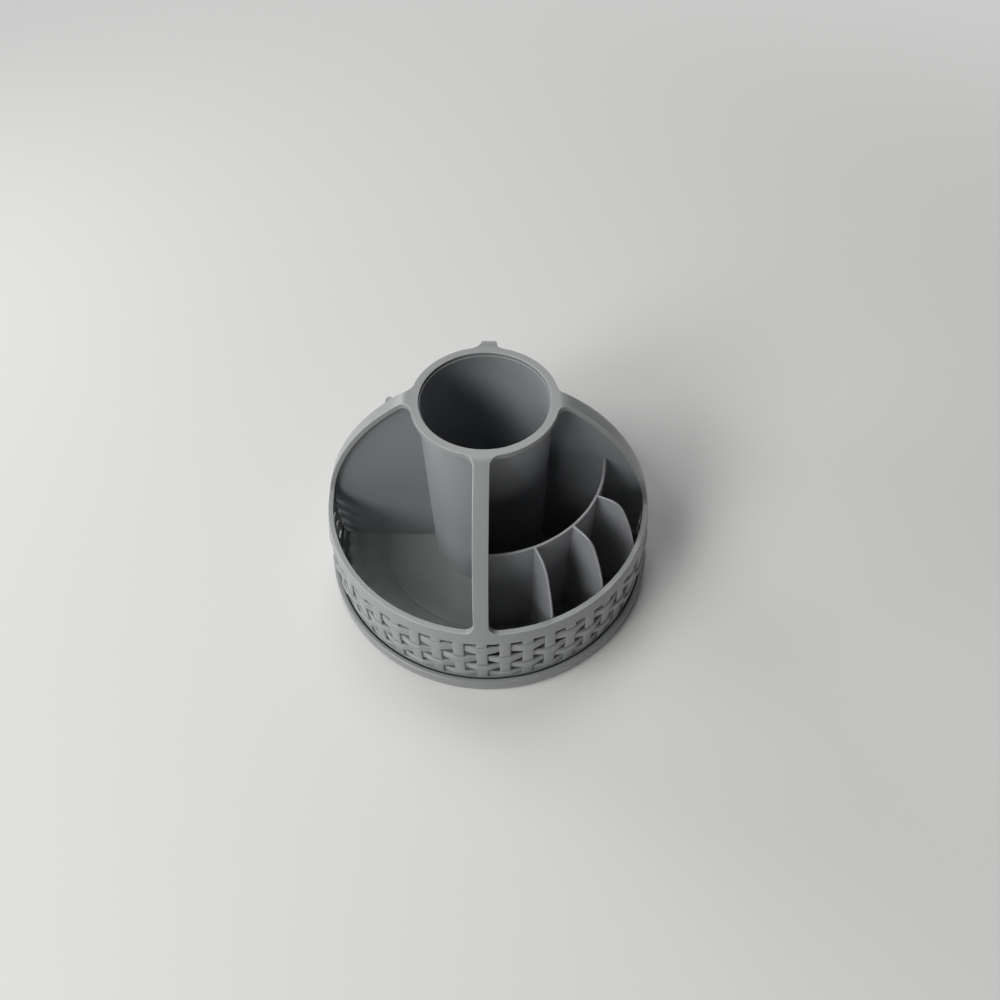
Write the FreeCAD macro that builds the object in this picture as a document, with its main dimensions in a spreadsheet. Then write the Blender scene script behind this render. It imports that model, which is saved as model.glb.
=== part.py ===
import FreeCAD, Part
import math
import os

import Sketcher
from FreeCAD import Placement, Rotation, Vector

# Revolving make-up organizer: a domed caddy with a woven wall that turns on a low round base.
# The origin is the centre of the underside, Z points up and the lengths are in millimetres.
# The front rib of the dome stands at -Y.

doc = FreeCAD.newDocument("makeup_organizer")

# Driving sizes

SIZES = (
    ("base_radius", 100.0, "base, outside"),
    ("base_height", 9.4, "top of the base's rim above the table"),
    ("base_wall", 3.0, "thickness of the base's rim"),
    ("base_plate", 2.0, "thickness of the base's floor"),
    ("rim_round", 1.6, "rounding of the rim's top edge"),
    ("foot_count", 4, "rubber pads"),
    ("foot_radius", 7.0, "rubber pad"),
    ("foot_height", 2.0, "rubber pad"),
    ("foot_drop", 1.0, "how far a pad stands out below the base"),
    ("foot_inset", 16.0, "from the base's outside to the middle of a pad"),
    ("ball_count", 12, "balls in the bearing"),
    ("ball_radius", 2.0, "one ball"),
    ("ball_inset", 34.0, "from the base's outside to the circle that the balls run on"),
    ("ball_play", 0.15, "gap between a ball and each track"),
    ("pocket_play", 0.15, "gap between a ball and its pocket in the cage"),
    ("cage_width", 6.0, "ball cage, across the ring"),
    ("cage_thickness", 1.6, "ball cage"),
    ("cage_play", 0.4, "gap between the cage and its guide walls"),
    ("guide_wall", 2.0, "thickness of the guide walls on the base"),
    ("guide_height", 3.0, "guide walls above the base's floor"),
    ("tray_track_width", 5.0, "raised track under the tray"),
    ("boss_radius", 7.0, "pivot boss under the tray"),
    ("pivot_play", 0.08, "radial gap between the boss and the hub"),
    ("hub_wall", 2.4, "thickness of the hub's side"),
    ("hub_web", 2.2, "thickness of the hub's top, which the boss runs in"),
    ("hub_depth", 3.6, "recess under the hub for the washer and the screw's head"),
    ("end_play", 0.2, "gap between the washer and the hub"),
    ("washer_radius", 9.6, "pivot washer"),
    ("washer_thickness", 1.0, "pivot washer"),
    ("washer_room", 1.0, "gap round the washer inside the hub"),
    ("screw_radius", 1.7, "pivot screw, shank"),
    ("screw_play", 0.06, "gap round the shank"),
    ("screw_grip", 4.0, "length of the shank inside the boss"),
    ("screw_head", 3.6, "radius of the pivot screw's head"),
    ("screw_head_height", 1.6, "pivot screw, head"),
    ("running_gap", 1.0, "gap between the base's rim and the woven wall"),
    ("tray_play", 0.8, "gap between the tray's edge and the base's rim"),
    ("tray_thickness", 2.2, "floor of the caddy"),
    ("spigot_height", 3.4, "low ring on the tray that centres the woven wall"),
    ("spigot_wall", 1.5, "thickness of that ring"),
    ("seat_play", 0.2, "gap between pieces of the caddy that fit inside each other"),
    ("wall_inset", 3.5, "from the base's outside to the outside of the woven wall"),
    ("dome_spring", 30.0, "height where the dome's arc leaves the upright wall"),
    ("shell_wall", 2.8, "thickness of the ribs and of the sill band"),
    ("full_height", 134.3, "top of the mouth ring above the table"),
    ("mouth_radius", 33.5, "mouth ring, inside"),
    ("ring_width", 4.2, "mouth ring, across"),
    ("ring_depth", 3.4, "mouth ring, height"),
    ("lip_depth", 1.5, "thin lip inside the mouth ring, over the end of the brush tube"),
    ("crown_margin", 3.5, "flat top of the dome outside the mouth ring"),
    ("rib_count", 4, "ribs of the dome"),
    ("rib_width", 7.9, "each rib"),
    ("sill_height", 58.2, "lower edge of the windows above the table"),
    ("ring_corner", 6.5, "window corners at the mouth ring"),
    ("sill_corner", 5.5, "window corners at the sill"),
    ("strand_count", 4, "rings of the weave, one above the other"),
    ("strand_height", 5.4, "each ring of the weave"),
    ("strand_gap", 4.5, "open slit above each ring"),
    ("stave_count", 48, "uprights of the weave"),
    ("stave_width", 6.2, "each upright"),
    ("weave_wall", 1.4, "thickness of the rings and the uprights"),
    ("weave_swing", 1.2, "how far the rings and the uprights swing in behind each other"),
    ("tube_step", 0.7, "from the mouth ring's inside to the brush tube's outside"),
    ("tube_wall", 1.5, "brush tube"),
    ("divider_wall", 2.0, "flat walls of the core"),
    ("divider_play", 1.0, "gap between the flat walls and the woven wall"),
    ("rear_angle", 140.0, "direction of the low wall in the back left quarter"),
    ("rear_height", 81.5, "top of that wall above the table"),
    ("rear_wall", 1.6, "thickness of that wall"),
    ("rear_corner", 6.0, "rounding at that wall's outer top corner"),
    ("cell_depth", 28.3, "lipstick cells, from the insert's curved wall to the woven wall"),
    ("arc_wall", 1.4, "curved wall of the lipstick insert"),
    ("fin_count", 3, "fins of the lipstick insert"),
    ("fin_spacing", 21.0, "angle from one fin to the next"),
    ("fin_wall", 1.2, "each fin"),
    ("fin_corner", 10.0, "rounding at each fin's outer top corner"),
    ("insert_height", 90.0, "top of the lipstick insert above the table"),
)

# Radii and levels that follow from the driving sizes

LAYOUT = (
    ("wall_radius", "Sizes.base_radius - Sizes.wall_inset"),
    ("ball_circle", "Sizes.base_radius - Sizes.ball_inset"),
    ("foot_circle", "Sizes.base_radius - Sizes.foot_inset"),
    ("base_bottom", "Sizes.foot_drop"),
    ("plate_top", "base_bottom + Sizes.base_plate"),
    ("rim_inside", "Sizes.base_radius - Sizes.base_wall"),
    ("hub_bore", "Sizes.boss_radius + Sizes.pivot_play"),
    ("hub_recess", "Sizes.washer_radius + Sizes.washer_room"),
    ("hub_outside", "hub_recess + Sizes.hub_wall"),
    ("hub_shoulder", "base_bottom + Sizes.hub_depth"),
    ("hub_top", "hub_shoulder + Sizes.hub_web"),
    ("cage_inside", "ball_circle - Sizes.cage_width / 2"),
    ("cage_outside", "ball_circle + Sizes.cage_width / 2"),
    ("guide_one", "cage_inside - Sizes.cage_play - Sizes.guide_wall"),
    ("guide_two", "cage_inside - Sizes.cage_play"),
    ("guide_three", "cage_outside + Sizes.cage_play"),
    ("guide_four", "cage_outside + Sizes.cage_play + Sizes.guide_wall"),
    ("guide_top", "plate_top + Sizes.guide_height"),
    ("hem_level", "Sizes.base_height + Sizes.running_gap"),
    ("tray_bottom", "hem_level - Sizes.tray_thickness"),
    ("ball_level", "(plate_top + tray_bottom) / 2"),
    ("base_track", "ball_level - Sizes.ball_radius - Sizes.ball_play"),
    ("tray_track", "ball_level + Sizes.ball_radius + Sizes.ball_play"),
    ("track_inside", "ball_circle - Sizes.tray_track_width / 2"),
    ("track_outside", "ball_circle + Sizes.tray_track_width / 2"),
    ("cage_bottom", "ball_level - Sizes.cage_thickness / 2"),
    ("pocket_radius", "Sizes.ball_radius + Sizes.pocket_play"),
    ("boss_end", "hub_shoulder - Sizes.end_play"),
    ("washer_bottom", "boss_end - Sizes.washer_thickness"),
    ("head_bottom", "washer_bottom - Sizes.screw_head_height"),
    ("screw_hole", "Sizes.screw_radius + Sizes.screw_play"),
    ("screw_tip", "boss_end + Sizes.screw_grip"),
    ("hole_end", "screw_tip + Sizes.seat_play"),
    ("tray_edge", "rim_inside - Sizes.tray_play"),
    ("weave_inside", "wall_radius - Sizes.weave_swing - Sizes.weave_wall"),
    ("spigot_outside", "weave_inside - Sizes.seat_play"),
    ("spigot_inside", "spigot_outside - Sizes.spigot_wall"),
    ("spigot_top", "hem_level + Sizes.spigot_height"),
    ("strand_pitch", "Sizes.strand_height + Sizes.strand_gap"),
    ("weave_top", "hem_level + Sizes.strand_count * strand_pitch"),
    ("ring_outside", "Sizes.mouth_radius + Sizes.ring_width"),
    ("crown_outside", "ring_outside + Sizes.crown_margin"),
    ("dome_spread", "wall_radius - crown_outside"),
    ("dome_rise", "Sizes.full_height - Sizes.dome_spring"),
    ("dome_radius", "(dome_spread^2 + dome_rise^2) / (2 * dome_spread)"),
    ("dome_centre", "dome_radius - wall_radius"),
    ("dome_inner", "dome_radius - Sizes.shell_wall"),
    ("band_outside", "sqrt(dome_radius^2 - (weave_top - Sizes.dome_spring)^2) - dome_centre"),
    ("band_inside", "sqrt(dome_inner^2 - (weave_top - Sizes.dome_spring)^2) - dome_centre"),
    ("ring_bottom", "Sizes.full_height - Sizes.ring_depth"),
    ("lip_bottom", "Sizes.full_height - Sizes.lip_depth"),
    ("crown_inside", "sqrt(dome_inner^2 - (ring_bottom - Sizes.dome_spring)^2) - dome_centre"),
    ("rib_side", "Sizes.rib_width / 2"),
    ("corner_side", "rib_side + Sizes.ring_corner"),
    ("corner_reach", "sqrt((ring_outside + Sizes.ring_corner)^2 - corner_side^2)"),
    ("corner_share", "ring_outside / (ring_outside + Sizes.ring_corner)"),
    ("corner_far", "corner_reach * corner_share"),
    ("corner_near", "corner_side * corner_share"),
    ("window_reach", "Sizes.base_radius"),
    ("tube_radius", "Sizes.mouth_radius + Sizes.tube_step"),
    ("tube_inside", "tube_radius - Sizes.tube_wall"),
    ("tube_middle", "tube_radius - Sizes.tube_wall / 2"),
    ("tube_top", "lip_bottom - Sizes.seat_play"),
    ("tube_seat", "tube_radius + Sizes.seat_play"),
    ("wall_reach", "weave_inside - Sizes.divider_play"),
    ("notch_reach", "spigot_inside - Sizes.seat_play"),
    ("notch_level", "spigot_top + Sizes.seat_play"),
    ("lining", "dome_inner - Sizes.seat_play"),
    ("lining_level", "Sizes.dome_spring + sqrt(lining^2 - (wall_reach + dome_centre)^2)"),
    ("divider_top", "ring_bottom - Sizes.seat_play"),
    ("divider_crown", "sqrt(lining^2 - (divider_top - Sizes.dome_spring)^2) - dome_centre"),
    ("rear_crown", "sqrt(lining^2 - (Sizes.rear_height - Sizes.dome_spring)^2) - dome_centre"),
    ("fin_crown", "sqrt(lining^2 - (Sizes.insert_height - Sizes.dome_spring)^2) - dome_centre"),
    ("arc_radius", "weave_inside - Sizes.cell_depth"),
    ("arc_inside", "arc_radius - Sizes.arc_wall"),
    ("arc_middle", "arc_radius - Sizes.arc_wall / 2"),
    ("insert_side", "Sizes.divider_wall / 2 + Sizes.seat_play"),
    ("arc_inner_end", "sqrt(arc_inside^2 - insert_side^2)"),
    ("arc_outer_end", "sqrt(arc_radius^2 - insert_side^2)"),
    ("fin_first", "45 - Sizes.fin_spacing * (Sizes.fin_count - 1) / 2"),
)


def fill_sheet(name, rows, mark=""):
    """Write one row for each size: its name in column A and its value, under an alias, in column B."""
    sheet = doc.addObject("Spreadsheet::Sheet", name)
    for number, (alias, content, *note) in enumerate(rows, start=1):
        sheet.set(f"A{number}", alias.replace("_", " "))
        sheet.set(f"B{number}", f"{mark}{content}")
        sheet.setAlias(f"B{number}", alias)
        if note:
            sheet.set(f"C{number}", note[0])
    return sheet


sizes = fill_sheet("Sizes", SIZES)
doc.recompute()
layout = fill_sheet("Layout", LAYOUT, mark="=")
doc.recompute()
driving = {row[0] for row in SIZES}


def cell(alias):
    """The expression for a size, wherever it is kept."""
    return f"Sizes.{alias}" if alias in driving else f"Layout.{alias}"


def number(alias):
    """The size as a plain number."""
    return float(getattr(sizes if alias in driving else layout, alias))


# Helpers for sketches and bodies

def new_body(name):
    body = doc.addObject("PartDesign::Body", name)
    body.Label = name
    return body


def origin_part(body, role):
    """A plane or an axis of the body's own origin."""
    return next(item for item in body.Origin.OriginFeatures if item.Role == role)


def new_sketch(body, name, plane="XY_Plane", level=None):
    """A sketch on one of the body's planes, raised to a level that has a cell."""
    sketch = body.newObject("Sketcher::SketchObject", name)
    sketch.AttachmentSupport = (origin_part(body, plane), [""])
    sketch.MapMode = "FlatFace"
    if level:
        sketch.setExpression("AttachmentOffset.Base.z", cell(level))
    return sketch


def bind(sketch, constraint, alias):
    """Add a constraint and tie it to its cell."""
    sketch.setExpression(f"Constraints[{sketch.addConstraint(constraint)}]", cell(alias))


def place_corner(sketch, edge, end, corner):
    """Tie one end of an edge to the two cells of its corner; 0 keeps it on that axis."""
    along, up = corner
    if along:
        bind(sketch, Sketcher.Constraint("DistanceX", -1, 1, edge, end, number(along)), along)
    else:
        sketch.addConstraint(Sketcher.Constraint("PointOnObject", edge, end, -2))
    if up:
        bind(sketch, Sketcher.Constraint("DistanceY", -1, 1, edge, end, number(up)), up)
    else:
        sketch.addConstraint(Sketcher.Constraint("PointOnObject", edge, end, -1))


def draw_outline(sketch, corners, arcs=()):
    """Draw a closed outline through the corners, each a pair of cells.

    arcs holds (edge number, centre of the arc, cell of its radius) for the edges that are round."""
    rounds = {edge: (centre, radius) for edge, centre, radius in arcs}
    points = [Vector(*(number(part) if part else 0.0 for part in corner), 0) for corner in corners]
    starts, ends = [], []
    for edge, start in enumerate(points):
        end = points[(edge + 1) % len(points)]
        if edge in rounds:
            centre, radius = rounds[edge]
            turn = (start - centre).cross(end - centre).z > 0
            first, last = (start, end) if turn else (end, start)
            circle = Part.Circle(centre, Vector(0, 0, 1), number(radius))
            sketch.addGeometry(Part.ArcOfCircle(circle, circle.parameter(first), circle.parameter(last)))
            starts.append(1 if turn else 2)
            ends.append(2 if turn else 1)
        else:
            sketch.addGeometry(Part.LineSegment(start, end))
            starts.append(1)
            ends.append(2)
    for edge, corner in enumerate(corners):
        before = (edge - 1) % len(corners)
        sketch.addConstraint(Sketcher.Constraint("Coincident", before, ends[before], edge, starts[edge]))
        place_corner(sketch, edge, starts[edge], corner)
    for edge, (centre, radius) in rounds.items():
        bind(sketch, Sketcher.Constraint("Radius", edge, number(radius)), radius)


def draw_circle(sketch, radius, centre=(0, 0)):
    """Draw a circle with its radius, and its centre, tied to cells."""
    middle = Vector(*(number(part) if part else 0.0 for part in centre), 0)
    edge = sketch.addGeometry(Part.Circle(middle, Vector(0, 0, 1), number(radius)))
    place_corner(sketch, edge, 3, centre)
    bind(sketch, Sketcher.Constraint("Radius", edge, number(radius)), radius)


def revolve(body, name, corners, arcs=()):
    """Turn an outline of radii and levels about the Z axis."""
    sketch = new_sketch(body, f"{name}_outline", "XZ_Plane")
    draw_outline(sketch, corners, arcs)
    turn = body.newObject("PartDesign::Revolution", name)
    turn.Profile = sketch
    turn.ReferenceAxis = (sketch, ["V_Axis"])
    turn.Angle = 360
    body.Tip = turn
    return turn


def pad(body, name, sketch, length, middle=False):
    """Give a sketch a height or, about its own plane, a thickness."""
    solid = body.newObject("PartDesign::Pad", name)
    solid.Profile = sketch
    solid.setExpression("Length", length)
    if middle:
        solid.SideType = "Symmetric"
    body.Tip = solid
    return solid


def cut_upward(body, name, sketch):
    """Cut everything above a sketch, and check that it did."""
    doc.recompute()
    before = body.Shape.Volume
    cut = body.newObject("PartDesign::Pocket", name)
    cut.Profile = sketch
    cut.Type = "ThroughAll"
    cut.Reversed = True
    body.Tip = cut
    doc.recompute()
    if not body.Shape.Volume < before:
        raise ValueError(f"{name} cut nothing")
    return cut


def repeat(body, name, features, count, angle="360"):
    """Repeat features about the Z axis."""
    pattern = body.newObject("PartDesign::PolarPattern", name)
    pattern.Originals = features
    pattern.Axis = (origin_part(body, "Z_Axis"), [""])
    pattern.setExpression("Angle", angle)
    pattern.setExpression("Occurrences", count)
    body.Tip = pattern
    return pattern


def round_edges(body, name, radius, wanted):
    """Round the edges of the body's last feature for which wanted(edge) is true."""
    doc.recompute()
    base = body.Tip
    names = [f"Edge{index}" for index, edge in enumerate(base.Shape.Edges, start=1) if wanted(edge)]
    if not names:
        raise ValueError(f"{name} found no edge")
    rounding = body.newObject("PartDesign::Fillet", name)
    rounding.Base = (base, names)
    rounding.setExpression("Radius", cell(radius))
    body.Tip = rounding
    return rounding


def level_edge(edge, level):
    """True for an edge that lies flat at a level."""
    return all(abs(vertex.Z - level) < 1e-4 for vertex in edge.Vertexes) and edge.BoundBox.ZLength < 1e-4


# Turntable base: a low round dish with a hub in the middle and two guide walls round the ball track

def make_base():
    body = new_body("turntable_base")
    revolve(body, "dish", (
        ("hub_recess", "base_bottom"), ("base_radius", "base_bottom"), ("base_radius", "base_height"),
        ("rim_inside", "base_height"), ("rim_inside", "plate_top"), ("guide_four", "plate_top"),
        ("guide_four", "guide_top"), ("guide_three", "guide_top"), ("guide_three", "base_track"),
        ("guide_two", "base_track"), ("guide_two", "guide_top"), ("guide_one", "guide_top"),
        ("guide_one", "plate_top"), ("hub_outside", "plate_top"), ("hub_outside", "hub_top"),
        ("hub_bore", "hub_top"), ("hub_bore", "hub_shoulder"), ("hub_recess", "hub_shoulder"),
    ))
    rim_level = number("base_height")
    round_edges(body, "rim_rounding", "rim_round",
                lambda edge: level_edge(edge, rim_level) and edge.Curve.Radius > number("rim_inside") + 0.1)
    doc.recompute()
    before = body.Shape.Volume
    sketch = new_sketch(body, "foot_seat_outline", level="base_bottom")
    draw_circle(sketch, "foot_radius", ("foot_circle", 0))
    seat = body.newObject("PartDesign::Pocket", "foot_seat")
    seat.Profile = sketch
    seat.setExpression("Length", "Sizes.foot_height - Sizes.foot_drop")
    seat.Reversed = True
    body.Tip = seat
    repeat(body, "foot_seats", [seat], "Sizes.foot_count")
    doc.recompute()
    if not body.Shape.Volume < before:
        raise ValueError("foot_seat cut nothing")
    body.setExpression("Placement.Rotation.Angle", "180 / Sizes.foot_count")
    return body


def on_circle(solid, radius, angle, level):
    """Put a solid on a circle about the Z axis."""
    solid.setExpression("Placement.Base.x", f"{cell(radius)} * cos({angle:.6f} deg)")
    solid.setExpression("Placement.Base.y", f"{cell(radius)} * sin({angle:.6f} deg)")
    if level:
        solid.setExpression("Placement.Base.z", cell(level))


def make_foot_pads():
    """Rubber pads, half sunk in the base and standing on the table."""
    count = int(number("foot_count"))
    pads = []
    for index in range(count):
        foot = doc.addObject("Part::Cylinder", f"foot_pad_{index + 1}")
        foot.setExpression("Radius", "Sizes.foot_radius")
        foot.setExpression("Height", "Sizes.foot_height")
        on_circle(foot, "foot_circle", 360 * (index + 0.5) / count, None)
        pads.append(foot)
    return pads


# Bearing: balls in a flat cage, between the track on the base and the track under the tray

def make_ball_cage():
    body = new_body("ball_cage")
    ring = new_sketch(body, "cage_outline", level="cage_bottom")
    draw_circle(ring, "cage_outside")
    draw_circle(ring, "cage_inside")
    pad(body, "cage_ring", ring, "Sizes.cage_thickness")
    pocket_outline = new_sketch(body, "pocket_outline", level="cage_bottom")
    draw_circle(pocket_outline, "pocket_radius", ("ball_circle", 0))
    pocket = cut_upward(body, "pocket", pocket_outline)
    repeat(body, "pockets", [pocket], "Sizes.ball_count")
    return body


def make_balls():
    count = int(number("ball_count"))
    balls = []
    for index in range(count):
        ball = doc.addObject("Part::Sphere", f"ball_{index + 1:02d}")
        ball.setExpression("Radius", "Sizes.ball_radius")
        on_circle(ball, "ball_circle", 360 * index / count, "ball_level")
        balls.append(ball)
    return balls


# Pivot: a washer and a screw, clamped to the end of the tray's boss inside the hub

def make_washer():
    body = new_body("pivot_washer")
    ring = new_sketch(body, "washer_outline", level="washer_bottom")
    draw_circle(ring, "washer_radius")
    draw_circle(ring, "screw_hole")
    pad(body, "washer_ring", ring, "Sizes.washer_thickness")
    return body


def make_screw():
    body = new_body("pivot_screw")
    revolve(body, "screw", (
        (0, "head_bottom"), ("screw_head", "head_bottom"), ("screw_head", "washer_bottom"),
        ("screw_radius", "washer_bottom"), ("screw_radius", "screw_tip"), (0, "screw_tip"),
    ))
    return body


# Floor tray: the caddy's floor, with the low ring that centres the wall, the track and the pivot boss

def make_tray():
    body = new_body("floor_tray")
    revolve(body, "floor", (
        (0, "hem_level"), ("spigot_inside", "hem_level"), ("spigot_inside", "spigot_top"),
        ("spigot_outside", "spigot_top"), ("spigot_outside", "hem_level"), ("tray_edge", "hem_level"),
        ("tray_edge", "tray_bottom"), ("track_outside", "tray_bottom"), ("track_outside", "tray_track"),
        ("track_inside", "tray_track"), ("track_inside", "tray_bottom"), ("boss_radius", "tray_bottom"),
        ("boss_radius", "boss_end"), ("screw_hole", "boss_end"), ("screw_hole", "hole_end"), (0, "hole_end"),
    ))
    return body


# Walls that stand on the tray and follow the inside of the dome

def wall_outline(sketch, inner, crown, top):
    """A wall from the inner radius to the woven wall, with a notch over the tray's ring."""
    centre = Vector(-number("dome_centre"), number("dome_spring"), 0)
    draw_outline(sketch, (
        (inner, "hem_level"), ("notch_reach", "hem_level"), ("notch_reach", "notch_level"),
        ("wall_reach", "notch_level"), ("wall_reach", "lining_level"), (crown, top), (inner, top),
    ), [(4, centre, "lining")])


def upright_sketch(body, name, angle):
    """A sketch in an upright plane through the Z axis, turned to an angle that an expression gives."""
    sketch = new_sketch(body, name, "XZ_Plane")
    sketch.AttachmentOffset = Placement(Vector(), Rotation(Vector(0, 1, 0), 1))
    sketch.setExpression("AttachmentOffset.Rotation.Angle", angle)
    return sketch


def crown_edge(edge, crown, top):
    """True for the short edge across a wall at its outer top corner."""
    ends = [math.hypot(vertex.X, vertex.Y) for vertex in edge.Vertexes]
    level = all(abs(vertex.Z - number(top)) < 1e-4 for vertex in edge.Vertexes)
    return len(ends) == 2 and level and all(abs(end - number(crown)) < 0.5 for end in ends)


def make_core():
    body = new_body("divider_core")
    ring = new_sketch(body, "tube_outline", level="hem_level")
    draw_circle(ring, "tube_radius")
    draw_circle(ring, "tube_inside")
    pad(body, "tube", ring, "Layout.tube_top - Layout.hem_level")
    outline = new_sketch(body, "divider_outline", "XZ_Plane")
    wall_outline(outline, "tube_middle", "divider_crown", "divider_top")
    divider = pad(body, "divider", outline, "Sizes.divider_wall", middle=True)
    repeat(body, "dividers", [divider], "Sizes.rib_count")
    rear = upright_sketch(body, "rear_outline", "Sizes.rear_angle")
    wall_outline(rear, "tube_middle", "rear_crown", "rear_height")
    pad(body, "rear_wall", rear, "Sizes.rear_wall", middle=True)
    round_edges(body, "rear_rounding", "rear_corner",
                lambda edge: crown_edge(edge, "rear_crown", "rear_height"))
    return body


def make_insert():
    """Curved wall and fins for lipsticks, drawn in the first quarter and turned to the front right."""
    body = new_body("lipstick_insert")
    outline = new_sketch(body, "arc_outline", level="hem_level")
    draw_outline(outline, (
        ("arc_inner_end", "insert_side"), ("arc_outer_end", "insert_side"),
        ("insert_side", "arc_outer_end"), ("insert_side", "arc_inner_end"),
    ), [(1, Vector(), "arc_radius"), (3, Vector(), "arc_inside")])
    pad(body, "curved_wall", outline, "Sizes.insert_height - Layout.hem_level")
    fin_outline = upright_sketch(body, "fin_outline", "Layout.fin_first")
    wall_outline(fin_outline, "arc_middle", "fin_crown", "insert_height")
    fin = pad(body, "fin", fin_outline, "Sizes.fin_wall", middle=True)
    repeat(body, "fins", [fin], "Sizes.fin_count", "Sizes.fin_spacing * (Sizes.fin_count - 1)")
    round_edges(body, "fin_roundings", "fin_corner",
                lambda edge: crown_edge(edge, "fin_crown", "insert_height"))
    body.Placement = Placement(Vector(), Rotation(Vector(0, 0, 1), -90))
    return body


# Woven dome shell: a domed frame with four windows, and under it the woven wall

def make_frame():
    body = new_body("dome_frame")
    centre = Vector(-number("dome_centre"), number("dome_spring"), 0)
    revolve(body, "dome", (
        ("band_outside", "weave_top"), ("crown_outside", "full_height"), ("mouth_radius", "full_height"),
        ("mouth_radius", "lip_bottom"), ("tube_seat", "lip_bottom"), ("tube_seat", "ring_bottom"),
        ("crown_inside", "ring_bottom"), ("band_inside", "weave_top"),
    ), [(0, centre, "dome_radius"), (6, centre, "dome_inner")])
    outline = new_sketch(body, "window_outline", level="sill_height")
    near = Vector(number("corner_reach"), number("corner_side"), 0)
    far = Vector(number("corner_side"), number("corner_reach"), 0)
    draw_outline(outline, (
        ("corner_reach", "rib_side"), ("window_reach", "rib_side"), ("window_reach", "window_reach"),
        ("rib_side", "window_reach"), ("rib_side", "corner_reach"), ("corner_near", "corner_far"),
        ("corner_far", "corner_near"),
    ), [(4, far, "ring_corner"), (5, Vector(), "ring_outside"), (6, near, "ring_corner")])
    window = cut_upward(body, "window", outline)
    repeat(body, "windows", [window], "Sizes.rib_count")
    sill = number("sill_height")
    round_edges(body, "sill_corners", "sill_corner",
                lambda edge: level_edge(edge, sill) and edge.Length < 2 * number("shell_wall"))
    return body


def wall_line(level):
    """Outside radius of the wall at a level: upright below, on the dome's arc above."""
    rise = max(level - number("dome_spring"), 0)
    return math.sqrt(number("dome_radius") ** 2 - rise ** 2) - number("dome_centre")


def strand_levels():
    """Middle of each ring of the weave, from the top ring down."""
    pitch = number("strand_pitch")
    lowest = number("hem_level") + number("strand_height") / 2
    return [lowest + pitch * step for step in reversed(range(int(number("strand_count"))))]


def tuck(strand, stave):
    """How far a ring lies in behind an upright: not at all where it passes outside."""
    return number("weave_swing") * ((strand + stave) % 2)


def make_strand(strand, level):
    """One ring of the weave: a band that passes over one upright and in behind the next."""
    step = 360 / number("stave_count")
    rims = []
    for depth in (0, number("weave_wall")):
        points = []
        for stave in range(int(number("stave_count"))):
            radius = wall_line(level) - tuck(strand, stave) - depth
            points.append(Rotation(Vector(0, 0, 1), stave * step - 90).multVec(Vector(radius, 0, 0)))
        rims.append(Part.makePolygon(points + points[:1]))
    band = Part.makeFace(rims, "Part::FaceMakerBullseye").extrude(Vector(0, 0, number("strand_height")))
    band.translate(Vector(0, 0, level - number("strand_height") / 2))
    return band


def make_stave(stave, levels):
    """One upright of the weave: a strip that goes the other way at each ring, up into the sill band."""
    root = number("weave_top") + number("strand_gap") / 4
    line = [(wall_line(root) - number("seat_play"), root)]
    line += [(wall_line(level) - tuck(strand, stave + 1), level) for strand, level in enumerate(levels)]
    line.append((line[-1][0], number("hem_level")))
    points = [Vector(radius, 0, level) for radius, level in line]
    points += [Vector(radius - number("weave_wall"), 0, level) for radius, level in reversed(line)]
    half_width = Vector(0, number("stave_width") / 2, 0)
    strip = Part.Face(Part.makePolygon(points + points[:1])).extrude(half_width * 2)
    strip.translate(half_width * -1)
    strip.rotate(Vector(), Vector(0, 0, 1), stave * 360 / number("stave_count") - 90)
    return strip


def make_weave():
    levels = strand_levels()
    strands = [make_strand(strand, level) for strand, level in enumerate(levels)]
    staves = [make_stave(stave, levels) for stave in range(int(number("stave_count")))]
    weave = doc.addObject("Part::Feature", "woven_wall")
    weave.Shape = strands[0].multiFuse(strands[1:] + staves)
    return weave


def make_shell():
    shell = doc.addObject("Part::Fuse", "woven_shell")
    shell.Base = make_frame()
    shell.Tool = make_weave()
    shell.Refine = False
    return shell


def make_all():
    """Make every sub-part, from the table up."""
    parts = [make_base(), *make_foot_pads(), make_ball_cage(), *make_balls(), make_washer(), make_screw()]
    parts += [make_tray(), make_core(), make_insert(), make_shell()]
    for part in parts:
        part.Label = part.Name
    return parts


def check(parts):
    """Stop if anything failed to build, or if a sub-part is empty or broken."""
    for item in doc.Objects:
        if {"Invalid", "Error"} & set(item.State):
            raise ValueError(f"{item.Name} is {item.State}")
    for part in parts:
        if part.Shape.isNull() or not part.Shape.isValid() or not part.Shape.Solids:
            raise ValueError(f"{part.Label} has no sound solid")


parts = make_all()
doc.recompute()
check(parts)
os.makedirs("parts", exist_ok=True)
for part in parts:
    part.Shape.exportStep(f"parts/{part.Label}.step")
    print(part.Label, len(part.Shape.Solids), "solid", round(part.Shape.Volume / 1000, 2), "cm3")
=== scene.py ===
import math

import bmesh
import bpy
from mathutils import Matrix, Vector


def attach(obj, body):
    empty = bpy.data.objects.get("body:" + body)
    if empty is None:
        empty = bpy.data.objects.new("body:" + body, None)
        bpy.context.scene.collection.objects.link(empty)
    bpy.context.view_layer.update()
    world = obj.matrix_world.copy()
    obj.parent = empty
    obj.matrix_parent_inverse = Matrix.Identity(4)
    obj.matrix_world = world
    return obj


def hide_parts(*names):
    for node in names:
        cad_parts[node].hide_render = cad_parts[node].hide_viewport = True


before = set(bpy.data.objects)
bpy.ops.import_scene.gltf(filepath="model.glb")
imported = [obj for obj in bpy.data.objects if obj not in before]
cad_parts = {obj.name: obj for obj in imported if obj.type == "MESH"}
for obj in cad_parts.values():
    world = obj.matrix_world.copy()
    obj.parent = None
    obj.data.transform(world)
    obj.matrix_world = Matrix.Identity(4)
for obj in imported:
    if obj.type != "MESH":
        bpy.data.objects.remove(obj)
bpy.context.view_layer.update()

# Looks of a revolving make-up organizer in grey moulded plastic.
# Lengths are written in millimetres and become metres where a mesh is made.

MM = 0.001

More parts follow.
